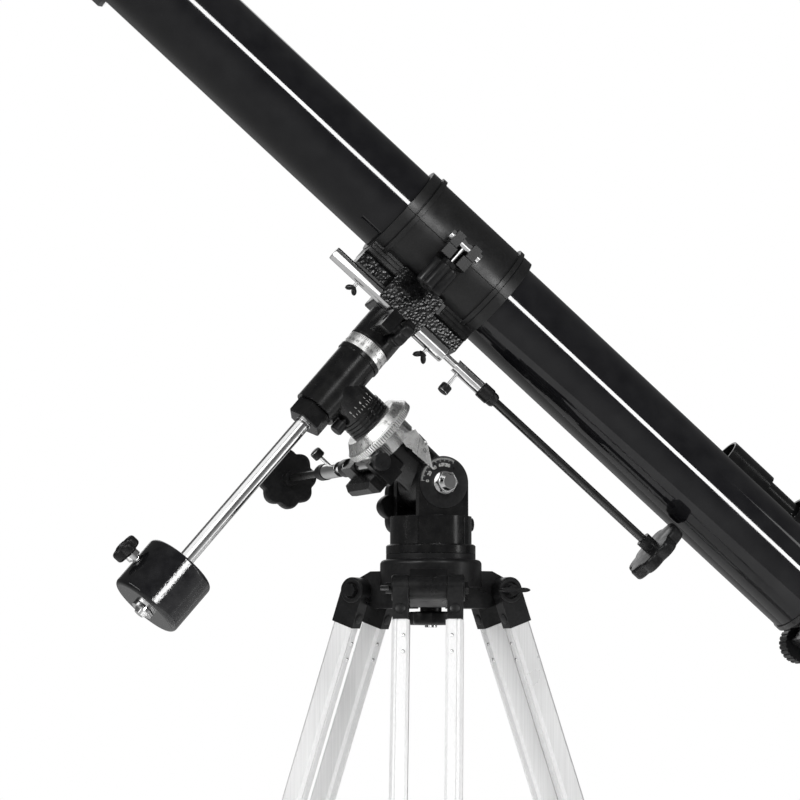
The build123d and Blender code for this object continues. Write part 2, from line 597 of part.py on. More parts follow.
barrel_r = 15.88
with BuildPart() as star_diagonal:
    disc(tube.offset(draw_back - 20), barrel_r, 34)
    block(tube, (-19, -19, draw_back - 57), (19, 19, draw_back - 18))
    chamfer(star_diagonal.edges().filter_by(lambda e: abs(e.tangent_at(0).dot(tube.y_dir)) > 0.9)
            .sort_by(Axis(tube.origin, sky + rise))[0], 24)
    disc(facing(tube, (19, 0, draw_back - 38), (1, 0, 0), (0, 0, 1)), 18, 16)
    disc(facing(tube, (-8, 0, draw_back - 38), (1, 0, 0), (0, 0, 1)), barrel_r + 0.05, 60, Mode.SUBTRACT)
    disc(tube.offset(draw_back - 40), 13, 60, Mode.SUBTRACT)
    disc(facing(tube, (28, 16, draw_back - 38), (0, 1, 0), (0, 0, 1)), 2, 6)
    disc(facing(tube, (28, 20, draw_back - 38), (0, 1, 0), (0, 0, 1)), 4, 6)
save(star_diagonal, "star_diagonal")

with BuildPart() as eyepiece:
    upward = facing(tube, (16, 0, draw_back - 38), (1, 0, 0), (0, 0, 1))
    disc(upward, barrel_r, 20)
    disc(upward.offset(19.4), 18.5, 26)
    disc(upward.offset(45.4), 16.5, 7)
    chamfer(eyepiece.faces().sort_by(Axis(tube.origin, rise))[-1].edges(), 1.5)
    disc(upward.offset(-1), 11, 18, Mode.SUBTRACT)
    disc(upward.offset(47), 9, 8, Mode.SUBTRACT)
save(eyepiece, "eyepiece")

# Finder on the tube's back side, beside the eyepiece
finder_turn, finder_off, finder_r, bracket_z = 40.0, 74.0, 14.0, -392.0
beside = turned_frame(tube, finder_turn)
finder = facing(beside, (finder_off, 0, 0), (0, 0, 1), (1, 0, 0))
with BuildPart() as finder_bracket:
    with BuildSketch(beside.offset(bracket_z - 16)):
        with Locations((tube_r + 2, 0)):
            Rectangle(8, 20)
        Circle(tube_r + 0.1, mode=Mode.SUBTRACT)
    extrude(amount=32)
    block(beside, (tube_r + 4, -4, bracket_z - 9), (finder_off - 20, 4, bracket_z + 9))
    disc(finder.offset(bracket_z - 9), 22, 18)
    disc(finder.offset(bracket_z - 10), 19, 20, Mode.SUBTRACT)
    for angle in (60, 180, 300):
        spoke = turned_frame(finder, angle)
        disc(facing(spoke, (finder_r + 0.1, 0, bracket_z), (1, 0, 0), (0, 0, 1)), 1.8, 14)
        disc(facing(spoke, (26, 0, bracket_z), (1, 0, 0), (0, 0, 1)), 4, 6)
save(finder_bracket, "finder_bracket")

with BuildPart() as finder_scope:
    disc(finder.offset(bracket_z - 58), finder_r, 110)
    disc(finder.offset(bracket_z + 42), 17.5, 46)
    disc(finder.offset(bracket_z - 78), 12, 24)
    disc(finder.offset(bracket_z + 60), 15.5, 30, Mode.SUBTRACT)
    disc(finder.offset(bracket_z - 79), 8, 6, Mode.SUBTRACT)
save(finder_scope, "finder_scope")

# Legs: each frame has x across the leg, y outwards, z down along the leg from its hinge
rail_in, rail_out, rail_depth, rail_from, rail_wall = 14.6, 29.0, 18.5, 30.0, 1.6
lower_from, lower_half, lower_depth, foot_from = 250.0, 13.6, 15.0, 650.0


def leg_frame(azimuth):
    """x across the leg, y outwards, z down along the leg; the origin is on the leg's hinge."""
    outward = Vector(cos(radians(azimuth)), sin(radians(azimuth)), 0)
    down = outward * sin(radians(leg_lean)) - Vector(0, 0, cos(radians(leg_lean)))
    across = outward.cross(Vector(0, 0, 1))
    return Plane(origin=mount.origin + outward * hinge_r - Vector(0, 0, hinge_drop), x_dir=across, z_dir=down)


def leg(name, azimuth):
    frame = leg_frame(azimuth)
    half_depth = rail_depth / 2

    with BuildPart() as rails:
        for x in (-rail_out, rail_in):
            width = rail_out - rail_in
            block(frame, (x, -half_depth, rail_from), (x + width, half_depth, rail_end))
            block(frame, (x + rail_wall, rail_wall - half_depth, rail_from - 1),
                  (x + width - rail_wall, half_depth - rail_wall, rail_end + 1), Mode.SUBTRACT)
    save(rails, f"leg_rails_{name}")

    with BuildPart() as fittings:
        for x in (-bracket_half, lug_half + gap):
            cheek = facing(frame, (x, 0, 0), (1, 0, 0), (0, 1, 0))
            with BuildSketch(cheek):
                Circle(11)
                with Locations((0, rail_from / 2)):
                    Rectangle(21, rail_from)
            extrude(amount=bracket_half - lug_half - gap)
            disc(facing(frame, (x - 1, 0, 0), (1, 0, 0), (0, 1, 0)), pin_r + running, 20, Mode.SUBTRACT)
        block(frame, (-rail_out - 1.5, -half_depth - 2, rail_end), (rail_out + 1.5, half_depth + 2, rail_end + 24))
        block(frame, (-lower_half - 0.4, -lower_depth / 2 - 0.4, rail_end - 1),
              (lower_half + 0.4, lower_depth / 2 + 0.4, rail_end + 30), Mode.SUBTRACT)
        disc(facing(frame, (0, 5, rail_end + 12), (0, 1, 0), (1, 0, 0)), 3 + running, 20, Mode.SUBTRACT)
    save(fittings, f"leg_fittings_{name}")

    with BuildPart() as screw:
        stem = facing(frame, (0, lower_depth / 2 + 0.5, rail_end + 12), (0, 1, 0), (1, 0, 0))
        disc(stem, 3, 10)
        lobed(stem.offset(6), 11, 4, 8)
    save(screw, f"leg_screw_{name}")

    with BuildPart() as lower:
        block(frame, (-lower_half, -lower_depth / 2, lower_from), (lower_half, lower_depth / 2, leg_length - 32))
        block(frame, (2 - lower_half, 2 - lower_depth / 2, lower_from - 1),
              (lower_half - 2, lower_depth / 2 - 2, leg_length - 34), Mode.SUBTRACT)
    save(lower, f"lower_leg_{name}")

    # the tip stands upright on the floor
    with BuildPart() as foot:
        block(frame, (-lower_half - 1.5, -lower_depth / 2 - 1.5, foot_from),
              (lower_half + 1.5, lower_depth / 2 + 1.5, leg_length - 14))
        tip = frame.from_local_coords((0, 0, leg_length - 8))
        disc(Plane(origin=(tip.X, tip.Y, 0)), 12, tip.Z + 6)
        block(frame, (-lower_half, -lower_depth / 2, foot_from - 1), (lower_half, lower_depth / 2, leg_length - 32),
              Mode.SUBTRACT)
    save(foot, f"foot_{name}")


for leg_name, leg_azimuth in leg_azimuths.items():
    leg(leg_name, leg_azimuth)
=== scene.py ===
import json
from math import atan2, cos, pi, radians, sin

import bmesh
import bpy
from mathutils import Matrix, Vector

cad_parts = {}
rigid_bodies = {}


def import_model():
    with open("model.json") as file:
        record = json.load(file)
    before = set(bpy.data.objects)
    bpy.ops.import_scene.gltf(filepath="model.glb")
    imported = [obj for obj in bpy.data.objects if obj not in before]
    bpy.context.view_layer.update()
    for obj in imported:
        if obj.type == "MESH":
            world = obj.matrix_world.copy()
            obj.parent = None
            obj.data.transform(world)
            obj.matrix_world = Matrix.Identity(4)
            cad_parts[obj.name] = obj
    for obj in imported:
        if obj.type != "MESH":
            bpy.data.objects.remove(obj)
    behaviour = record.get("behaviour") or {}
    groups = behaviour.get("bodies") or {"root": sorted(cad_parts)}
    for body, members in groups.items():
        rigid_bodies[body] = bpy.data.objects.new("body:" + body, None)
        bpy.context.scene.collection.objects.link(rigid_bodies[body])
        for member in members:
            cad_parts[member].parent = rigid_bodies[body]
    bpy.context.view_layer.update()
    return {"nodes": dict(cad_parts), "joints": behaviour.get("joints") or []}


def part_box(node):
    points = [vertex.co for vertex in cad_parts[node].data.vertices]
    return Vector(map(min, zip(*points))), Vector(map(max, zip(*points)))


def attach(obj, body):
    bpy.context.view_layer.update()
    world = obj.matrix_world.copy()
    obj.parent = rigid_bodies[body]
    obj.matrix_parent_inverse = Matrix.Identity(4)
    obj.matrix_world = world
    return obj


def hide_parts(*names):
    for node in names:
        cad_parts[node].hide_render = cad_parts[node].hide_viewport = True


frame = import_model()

MM = 0.001
UP = Vector((0, 0, 1))
NORTH_SIDE = Vector((0, 1, 0))
TUBE_RISE = 154.5       # from the polar axis to the tube's axis
CHEEK_FACE = 28.5       # from the latitude pivot to a fork cheek's outer face


# ---------------------------------------------------------------- frames

def joint(name):
    """A joint's point, or None on a slide, and its axis."""
    found = next(j for j in frame["joints"] if j["name"] == name)
    point = Vector(found["pos_m"]) if "pos_m" in found else None
    return point, Vector(found["axis"]).normalized()


def frame_at(origin, x_axis, z_axis):
    """A matrix whose z is z_axis and whose x lies as near x_axis as it can."""
    z = Vector(z_axis).normalized()
    x = Vector(x_axis)
    x = (x - z * x.dot(z)).normalized()
    y = z.cross(x)
    matrix = Matrix((x, y, z)).transposed().to_4x4()
    matrix.translation = Vector(origin)
    return matrix


def local(matrix, x, y, z):
    """A point of a frame, given in millimetres."""
    return matrix @ Vector((x * MM, y * MM, z * MM))


hub_point, _ = joint("azimuth_turn")
pivot, _ = joint("latitude_tilt")
polar_origin, pole = joint("ra_slow_motion")
dec_origin, rise = joint("dec_turn")
_, sky = joint("tube_slide")
POLAR = frame_at(polar_origin, rise, pole)
DEC = frame_at(dec_origin, pole, rise)
HEAD = frame_at(dec_origin, sky, rise)
TUBE = frame_at(dec_origin + rise * TUBE_RISE * MM, rise, sky)
LEGS = ("front", "right", "left")


# ---------------------------------------------------------------- materials

def principled(name, color, roughness, metallic=0.0, **sockets):
    """A new material with its Principled shader, and the node tree to build on."""
    made = bpy.data.materials.new(name)
    made.use_nodes = True
    shader = made.node_tree.nodes["Principled BSDF"]
    shader.inputs["Base Color"].default_value = (*color, 1.0)
    shader.inputs["Roughness"].default_value = roughness
    shader.inputs["Metallic"].default_value = metallic
    for socket, value in sockets.items():
        shader.inputs[socket.replace("_", " ")].default_value = value
    return made, shader


def noise(made, scale, detail=3.0, stretch=(1, 1, 1), turn=(0, 0, 0), kind="Noise"):
    """A texture's output in object space: features are about 1 / scale metres."""
    nodes, links = made.node_tree.nodes, made.node_tree.links
    where = nodes.new("ShaderNodeTexCoord")
    mapping = nodes.new("ShaderNodeMapping")
    mapping.inputs["Rotation"].default_value = turn
    mapping.inputs["Scale"].default_value = stretch
    links.new(where.outputs["Object"], mapping.inputs["Vector"])
    if kind == "Noise":
        texture = nodes.new("ShaderNodeTexNoise")
        texture.inputs["Detail"].default_value = detail
        output = texture.outputs["Fac"]
    else:
        texture = nodes.new("ShaderNodeTexVoronoi")
        texture.feature = "SMOOTH_F1"
        texture.inputs["Smoothness"].default_value = 0.6
        output = texture.outputs["Distance"]
    texture.inputs["Scale"].default_value = scale
    links.new(mapping.outputs["Vector"], texture.inputs["Vector"])
    return output


def ranged(made, value, low, high, from_low=0.3, from_high=0.7):
    """A texture's value, mapped to a range."""
    node = made.node_tree.nodes.new("ShaderNodeMapRange")
    node.inputs["From Min"].default_value = from_low
    node.inputs["From Max"].default_value = from_high
    node.inputs["To Min"].default_value = low
    node.inputs["To Max"].default_value = high
    made.node_tree.links.new(value, node.inputs["Value"])
    return node.outputs["Result"]


def blended(made, value, color_a, color_b, from_low=0.35, from_high=0.65):
    """A colour between two, led by a texture."""
    node = made.node_tree.nodes.new("ShaderNodeMix")
    node.data_type = "RGBA"
    node.inputs["A"].default_value = (*color_a, 1.0)
    node.inputs["B"].default_value = (*color_b, 1.0)
    made.node_tree.links.new(ranged(made, value, 0.0, 1.0, from_low, from_high), node.inputs["Factor"])
    return node.outputs["Result"]


def relief(made, shader, height, distance, strength=1.0, edge=0.0):
    """Bump of a height in metres; with an edge radius, sharp edges catch light as worn ones do."""
    nodes, links = made.node_tree.nodes, made.node_tree.links
    bump = nodes.new("ShaderNodeBump")
    bump.inputs["Distance"].default_value = distance
    bump.inputs["Strength"].default_value = strength
    links.new(height, bump.inputs["Height"])
    if edge:
        bevel = nodes.new("ShaderNodeBevel")
        bevel.samples = 4
        bevel.inputs["Radius"].default_value = edge
        links.new(bevel.outputs["Normal"], bump.inputs["Normal"])
    links.new(bump.outputs["Normal"], shader.inputs["Normal"])


def link(made, value, shader, socket):
    made.node_tree.links.new(value, shader.inputs[socket])


def enamel():
    made, shader = principled("gloss_black_enamel", (0.0035, 0.0035, 0.004), 0.06,
                              Specular_IOR_Level=0.32)
    dust = noise(made, 9.0, 5.0)
    link(made, ranged(made, dust, 0.03, 0.09), shader, "Roughness")
    link(made, blended(made, noise(made, 40.0), (0.003, 0.003, 0.0035), (0.0055, 0.0055, 0.006)),
         shader, "Base Color")
    relief(made, shader, noise(made, 260.0, 2.0), 0.00003, 0.35)
    return made


def weight_enamel():
    """The counterweight's thick gloss over cast iron: its surface ripples enough to break up a reflection."""
    made, shader = principled("cast_gloss_black", (0.004, 0.004, 0.0045), 0.07)
    link(made, ranged(made, noise(made, 60.0, 5.0), 0.04, 0.12), shader, "Roughness")
    link(made, blended(made, noise(made, 90.0), (0.003, 0.003, 0.0035), (0.008, 0.008, 0.0085)),
         shader, "Base Color")
    relief(made, shader, noise(made, 520.0, 3.0), 0.00022, 0.5, edge=0.0006)
    return made


def paint():
    """Semi-gloss black over a die casting: a little orange peel, and dull patches from handling."""
    made, shader = principled("black_paint", (0.008, 0.008, 0.0085), 0.3, Specular_IOR_Level=0.4)
    link(made, ranged(made, noise(made, 55.0, 5.0), 0.14, 0.3), shader, "Roughness")
    link(made, blended(made, noise(made, 130.0, 4.0), (0.006, 0.006, 0.0065), (0.013, 0.013, 0.013)),
         shader, "Base Color")
    relief(made, shader, noise(made, 700.0, 3.0), 0.0001, 0.35, edge=0.0006)
    return made


def cradle_paint():
    made, shader = principled("cradle_satin_black", (0.007, 0.007, 0.0075), 0.38, Specular_IOR_Level=0.4)
    link(made, ranged(made, noise(made, 80.0, 4.0), 0.3, 0.44), shader, "Roughness")
    link(made, blended(made, noise(made, 900.0, 2.0), (0.006, 0.006, 0.006), (0.012, 0.012, 0.0125)),
         shader, "Base Color")
    relief(made, shader, noise(made, 1500.0, 2.0), 0.00008, 0.4, edge=0.0007)
    return made


def hammered():
    """Hammer-finish paint: dark, with pebbles about a millimetre across that each catch a point of light."""
    made, shader = principled("hammer_finish_black", (0.008, 0.008, 0.0085), 0.16)
    pebbles = noise(made, 430.0, kind="Voronoi")
    drift = noise(made, 210.0, 4.0)
    add = made.node_tree.nodes.new("ShaderNodeMath")
    add.operation = "ADD"
    made.node_tree.links.new(pebbles, add.inputs[0])
    made.node_tree.links.new(drift, add.inputs[1])
    link(made, blended(made, drift, (0.005, 0.005, 0.0055), (0.017, 0.017, 0.0175)), shader, "Base Color")
    link(made, ranged(made, drift, 0.12, 0.3), shader, "Roughness")
    relief(made, shader, add.outputs[0], 0.0009, 0.3, edge=0.0008)
    return made


def plastic():
    made, shader = principled("moulded_black_plastic", (0.009, 0.009, 0.0095), 0.36, Specular_IOR_Level=0.35)
    link(made, ranged(made, noise(made, 70.0, 4.0), 0.26, 0.46), shader, "Roughness")
    link(made, blended(made, noise(made, 420.0, 3.0), (0.007, 0.007, 0.0075), (0.014, 0.014, 0.0145)),
         shader, "Base Color")
    relief(made, shader, noise(made, 2400.0, 2.0), 0.00006, 0.5, edge=0.0007)
    return made


def chrome(name, shade=0.82, rough=(0.07, 0.2)):
    made, shader = principled(name, (shade, shade, shade * 0.99), rough[0], 1.0)
    link(made, ranged(made, noise(made, 120.0, 5.0), *rough), shader, "Roughness")
    link(made, blended(made, noise(made, 60.0, 4.0), (shade * 0.93,) * 3, (shade,) * 3), shader, "Base Color")
    relief(made, shader, noise(made, 900.0, 3.0), 0.00003, 0.3, edge=0.0004)
    return made


def brushed(name, along, shade=0.92):
    """Anodised aluminium drawn along a direction: fine streaks, and a few dull handling marks."""
    made, shader = principled(name, (shade, shade, shade), 0.34, 0.25)
    heading = atan2(along.y, along.x)
    lean = atan2((along.x ** 2 + along.y ** 2) ** 0.5, along.z)
    streaks = noise(made, 900.0, 3.0, stretch=(1, 1, 0.012), turn=(0, -lean, -heading))
    marks = noise(made, 22.0, 5.0)
    link(made, ranged(made, marks, 0.27, 0.46), shader, "Roughness")
    link(made, blended(made, streaks, (shade * 0.95,) * 3, (shade * 1.03,) * 3), shader, "Base Color")
    relief(made, shader, streaks, 0.00004, 0.3, edge=0.0006)
    return made


def satin_silver():
    """The setting circles and pointer: thin matt plating, slightly blotched."""
    made, shader = principled("satin_silver", (0.88, 0.88, 0.87), 0.3, 0.9)
    link(made, ranged(made, noise(made, 110.0, 5.0), 0.2, 0.36), shader, "Roughness")
    link(made, blended(made, noise(made, 200.0, 5.0), (0.76, 0.76, 0.75), (0.92, 0.92, 0.91)),
         shader, "Base Color")
    relief(made, shader, noise(made, 1200.0, 3.0), 0.00005, 0.35, edge=0.0005)
    return made


def rubber():
    made, shader = principled("moulded_rubber", (0.013, 0.013, 0.013), 0.75)
    link(made, ranged(made, noise(made, 60.0, 4.0), 0.62, 0.88), shader, "Roughness")
    link(made, blended(made, noise(made, 200.0, 4.0), (0.01, 0.01, 0.01), (0.022, 0.021, 0.02)),
         shader, "Base Color")
    relief(made, shader, noise(made, 1800.0, 3.0), 0.0002, 0.5, edge=0.001)
    return made


def coated_glass():
    made, shader = principled("coated_optical_glass", (0.93, 0.97, 0.98), 0.02, IOR=1.52,
                              Transmission_Weight=1.0, Coat_Weight=0.6, Coat_Tint=(0.55, 0.4, 0.85, 1.0))
    link(made, ranged(made, noise(made, 45.0, 5.0), 0.0, 0.04), shader, "Roughness")
    return made


def print_ink(name, color):
    made, shader = principled(name, color, 0.5)
    shade = noise(made, 1500.0, 3.0)
    link(made, blended(made, shade, tuple(c * 0.82 for c in color), color), shader, "Base Color")
    link(made, ranged(made, shade, 0.42, 0.6), shader, "Roughness")
    return made


ENAMEL, PAINT, CRADLE, HAMMER = enamel(), paint(), cradle_paint(), hammered()
PLASTIC, CHROME, RODS = plastic(), chrome("bright_plating"), chrome("dark_rod", 0.1, (0.25, 0.4))
WEIGHT = weight_enamel()
SILVER, RUBBER, GLASS = satin_silver(), rubber(), coated_glass()
WHITE_INK, BLACK_INK = print_ink("white_print", (0.8, 0.8, 0.78)), print_ink("dark_print", (0.03, 0.03, 0.03))


def dress(material, *nodes):
    """Gives CAD nodes a material."""
    for node in nodes:
        slots = frame["nodes"][node].data.materials
        slots.clear()
        slots.append(material)


dress(ENAMEL, "main_tube", "dew_shield")
dress(WEIGHT, "counterweight")
dress(PAINT, "azimuth_base", "polar_housing", "declination_housing", "tangent_collar", "focuser_body",
      "lens_cell", "finder_bracket", "finder_scope", "shaft_end_nut")
dress(CRADLE, "cradle_lower", "cradle_upper")
dress(HAMMER, "dec_block")
dress(PLASTIC, "tripod_hub", "azimuth_lock_knob", "latitude_lock_knob", "ra_lock_knob", "dec_lock_knob",
      "clamp_knob", "counterweight_screw", "focus_knobs", "star_diagonal", "eyepiece", "leg_hinge_bolts")
dress(RODS, "ra_control_rod", "dec_control_rod")
dress(CHROME, "spring_tube", "ra_worm_shaft", "dec_screw", "screw_bush", "base_bolts", "dec_shaft",
      "ra_shaft", "counterweight_rod", "cradle_hinge_pin", "clamp_barrel", "drawtube", "focus_shaft",
      "ra_worm_wheel")
dress(SILVER, "ra_setting_circle", "dec_setting_circle", "latitude_pointer")
dress(GLASS, "objective_lens")
for side in LEGS:
    leg_metal = brushed(f"leg_aluminium_{side}", -joint(f"{side}_leg_slide")[1])
    dress(PLASTIC, f"leg_fittings_{side}", f"leg_screw_{side}")
    dress(leg_metal, f"leg_rails_{side}", f"lower_leg_{side}")
    dress(RUBBER, f"foot_{side}")


# ---------------------------------------------------------------- mesh tools

def shade(bm, sharp=32):
    """Smooth faces, with edges over an angle kept sharp."""
    bmesh.ops.recalc_face_normals(bm, faces=bm.faces)
    for f in bm.faces:
        f.smooth = True
    for e in bm.edges:
        e.smooth = len(e.link_faces) == 2 and e.calc_face_angle(0.0) < radians(sharp)


def piece(name, bm, material, body, replaced=(), sharp=32):
    """An object from a bmesh in the scene's frame, riding on a body; it stands for the CAD nodes replaced."""
    shade(bm, sharp)
    mesh = bpy.data.meshes.new(name)
    bm.to_mesh(mesh)
    bm.free()
    mesh.materials.append(material)
    made = bpy.data.objects.new(name, mesh)
    bpy.context.scene.collection.objects.link(made)
    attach(made, body)
    if replaced:
        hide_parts(*replaced)
    return made


def lathe(bm, where, profile, segments=64, shape=None):
    """Turns a profile of (radius, z) millimetres about a frame's z. It starts and ends on the axis, or
    ends where it starts. shape scales the radius by angle."""
    rings = []
    for r, z in profile:
        if rings and (r, z) == tuple(profile[0]):
            rings.append(rings[0])
            continue
        if r < 1e-6:
            rings.append([bm.verts.new(local(where, 0, 0, z))])
            continue
        ring = []
        for k in range(segments):
            angle = 2 * pi * k / segments
            reach = r * (shape(angle, r) if shape else 1.0)
            ring.append(bm.verts.new(local(where, reach * cos(angle), reach * sin(angle), z)))
        rings.append(ring)
    for a, b in zip(rings, rings[1:]):
        for k in range(segments):
            n = (k + 1) % segments
            corners = [a[k % len(a)], a[n % len(a)], b[n % len(b)], b[k % len(b)]]
            unique = list(dict.fromkeys(corners))
            if len(unique) > 2:
                bm.faces.new(unique)


def lobes(count, depth):
    """A knob's outline: broad round lobes with narrower hollows between them."""
    def scale(angle, _):
        wave = 0.5 + 0.5 * cos(count * angle)
        return 1.0 - depth * (1.0 - wave ** 0.55)
    return scale


def hand_knob(name, where, radius, thickness, count, body, depth=0.2, neck=(6.0, 0.0), dish=1.2,
              replaced=()):
    """A moulded lobed knob along +z from the frame's origin, with a dished face and a neck behind it."""
    bm = bmesh.new()
    edge = min(2.6, thickness * 0.28)
    neck_r, neck_long = neck
    profile = [(0, -neck_long), (neck_r, -neck_long), (neck_r, 0.0)]
    for k in range(5):
        a = -pi / 2 + pi / 2 * k / 4
        profile.append((radius - edge + edge * cos(a), edge + edge * sin(a)))
    for k in range(5):
        a = pi / 2 * k / 4
        profile.append((radius - edge + edge * cos(a), thickness - edge + edge * sin(a)))
    profile += [(radius * 0.66, thickness), (radius * 0.58, thickness - dish),
                (radius * 0.3, thickness - dish), (radius * 0.26, thickness - 0.2), (0, thickness)]
    outline = lobes(count, depth)

    def shape(angle, r):
        full = outline(angle, r)
        share = max(0.0, min(1.0, (r / radius - 0.45) / 0.4))
        return 1.0 + (full - 1.0) * share
    lathe(bm, where, profile, 120, shape)
    return piece(name, bm, PLASTIC, body, replaced, sharp=40)


def turned(name, where, profile, material, body, segments=64):
    """One turned piece."""
    bm = bmesh.new()
    lathe(bm, where, profile, segments)
    return piece(name, bm, material, body, sharp=30)


def bar(bm, where, low, high):
    """A box between two corners of a frame, in millimetres."""
    corners = [bm.verts.new(local(where, x, y, z)) for x in (low[0], high[0]) for y in (low[1], high[1])
               for z in (low[2], high[2])]
    for quad in ((0, 1, 3, 2), (4, 6, 7, 5), (0, 4, 5, 1), (2, 3, 7, 6), (0, 2, 6, 4), (1, 5, 7, 3)):
        bm.faces.new([corners[k] for k in quad])


def numeral(bm, text, where, size, raised=0.06):
    """Figures in the built-in face, flat on a frame's xy plane and centred on its origin."""
    curve = bpy.data.curves.new("figure", "FONT")
    curve.body = text
    curve.size = size
    curve.extrude = raised
    curve.align_x = "CENTER"
    curve.align_y = "CENTER"
    curve.resolution_u = 3
    holder = bpy.data.objects.new("figure", curve)
    bpy.context.scene.collection.objects.link(holder)
    bpy.context.view_layer.update()
    mesh = bpy.data.meshes.new_from_object(holder.evaluated_get(bpy.context.evaluated_depsgraph_get()))
    mesh.transform(Matrix.Scale(MM, 4))
    mesh.transform(where)
    bm.from_mesh(mesh)
    bpy.data.objects.remove(holder)
    bpy.data.curves.remove(curve)
    bpy.data.meshes.remove(mesh)


# ---------------------------------------------------------------- slow-motion rods and knobs

def control_rod(name, node, where, sleeve, rod_r, length, knob_r, body):
    """Sleeve, rod and lobed hand knob, along +z from the end of the coupler."""
    sleeve_r, sleeve_long = sleeve
    turned(f"{name}_sleeve", where, [(0, 0), (sleeve_r - 0.5, 0), (sleeve_r, 0.5),
           (sleeve_r, sleeve_long * 0.62), (sleeve_r * 0.9, sleeve_long * 0.66),
           (sleeve_r * 0.86, sleeve_long * 0.9), (rod_r + 1.2, sleeve_long), (0, sleeve_long)],
           PLASTIC, body)
    turned(f"{name}_shaft", where, [(0, sleeve_long - 1), (rod_r, sleeve_long - 1), (rod_r, length + 1),
           (0, length + 1)], RODS, body)
    knob_at = where @ Matrix.Translation((0, 0, length * MM))
    hand_knob(f"{name}_knob", knob_at, knob_r, 11.0, 8, body, depth=0.13, neck=(6.5, 10.0),
              dish=2.4, replaced=(node,))


worm_point, _ = joint("worm_turn")
worm = frame_at(worm_point, pole, NORTH_SIDE)
control_rod("ra_rod", "ra_control_rod", worm @ Matrix.Translation((0, 0, 100 * MM)), (7.2, 18.0), 3.3,
            99.0, 27.0, "worm")
screw_point, down_tube = joint("dec_screw_turn")
fine_screw = frame_at(screw_point, rise, down_tube)
control_rod("dec_rod", "dec_control_rod", fine_screw @ Matrix.Translation((0, 0, 92 * MM)), (7.0, 17.0), 3.7,
            198.0, 28.5, "dec_drive")


def black_cap(name, where, radius, low, high, body):
    """A black moulded cap pressed over the end of a plated screw."""
    edge = min(1.4, radius * 0.3)
    turned(name, where, [(0, low), (radius - edge * 0.6, low), (radius, low + edge * 0.6),
           (radius, high - edge), (radius - edge * 0.3, high - edge * 0.3), (radius - edge, high), (0, high)],
           PLASTIC, body, 40)


black_cap("worm_cap", worm, 7.6, -33.0, -25.2, "worm")
black_cap("worm_collar", worm, 7.75, 41.6, 54.3, "worm")
worm_thumb = frame_at(local(worm, 17, 0, 82), NORTH_SIDE, pole)
black_cap("worm_thumb_head", worm_thumb, 5.1, -0.3, 7.4, "worm")
dec_thumb = frame_at(fine_screw @ Vector((-18 * MM, 0, 69 * MM)), down_tube, -rise)
black_cap("dec_thumb_head", dec_thumb, 4.9, -0.3, 7.4, "dec_drive")


def wing_nut(name, where, tall, thick, body):
    """Two rounded black ears that rise apart from a small hub, along +z."""
    steps, sides = 8, 16
    bm = bmesh.new()
    lathe(bm, where, [(0, 0), (thick * 0.8, 0), (thick * 0.7, 2.6), (0, 2.6)], 24)
    for s in (-1, 1):
        lean = where @ Matrix.Rotation(s * radians(42), 4, "Y")
        rings = []
        for t in range(steps + 1):
            up = tall * t / steps
            wide = (0.9 + 1.5 * sin(pi * min(1.0, t / steps * 0.95))) * (0.35 if t == steps else 1.0)
            deep = thick / 2 * (0.4 if t == steps else 1.0)
            turns = [2 * pi * k / sides for k in range(sides)]
            rings.append([bm.verts.new(local(lean, wide * cos(a), deep * sin(a), up)) for a in turns])
        for a, b in zip(rings, rings[1:]):
            for k in range(sides):
                bm.faces.new([a[k], a[(k + 1) % sides], b[(k + 1) % sides], b[k]])
        for ring in (rings[0], rings[-1]):
            bm.faces.new(ring)
    piece(name, bm, PLASTIC, body)


# The spring plunger and the fine screw's bush, on one line beside the declination block
SIDE, SCREW_HIGH, SPRING_R, BUSH_R = 15.0, 83.0, 6.0, 7.6
along_tube = frame_at(local(HEAD, 0, SIDE, SCREW_HIGH), rise, sky)
bm = bmesh.new()
lathe(bm, along_tube, [(4.2, 14), (4.2, 9), (SPRING_R, 9), (SPRING_R, 74.2), (5.5, 75.2), (4.7, 75.5),
      (0, 75.5), (0, 74), (4.2, 74), (4.2, 14)])
lathe(bm, along_tube, [(0, 5.6), (4.1, 5.6), (4.1, 17.6), (1.6, 17.6), (1.6, 58), (0, 58)], 32)
piece("spring_plunger", bm, CHROME, "saddle", ("spring_tube",))
bm = bmesh.new()
lathe(bm, along_tube, [(3.05, -19.9), (BUSH_R, -19.9), (BUSH_R, -50.2), (BUSH_R - 0.8, -51), (3.05, -51),
      (3.05, -19.9)])
piece("fine_screw_bush", bm, CHROME, "saddle", ("screw_bush",))
for name, place, reach, tall, thick in (("spring_wing_screw", 44, SPRING_R, 7.5, 3.2),
                                        ("bush_wing_screw", -36, BUSH_R, 9.0, 4.4)):
    neck = frame_at(local(HEAD, place, SIDE, SCREW_HIGH - reach + 1), sky, -rise)
    turned(f"{name}_neck", neck, [(0, 0), (1.6, 0), (1.6, 6.5), (0, 6.5)], CHROME, "saddle",
           24)
    wing_nut(name, neck @ Matrix.Translation((0, 0, 5.2 * MM)), tall, thick, "saddle")

# ---------------------------------------------------------------- lock knobs

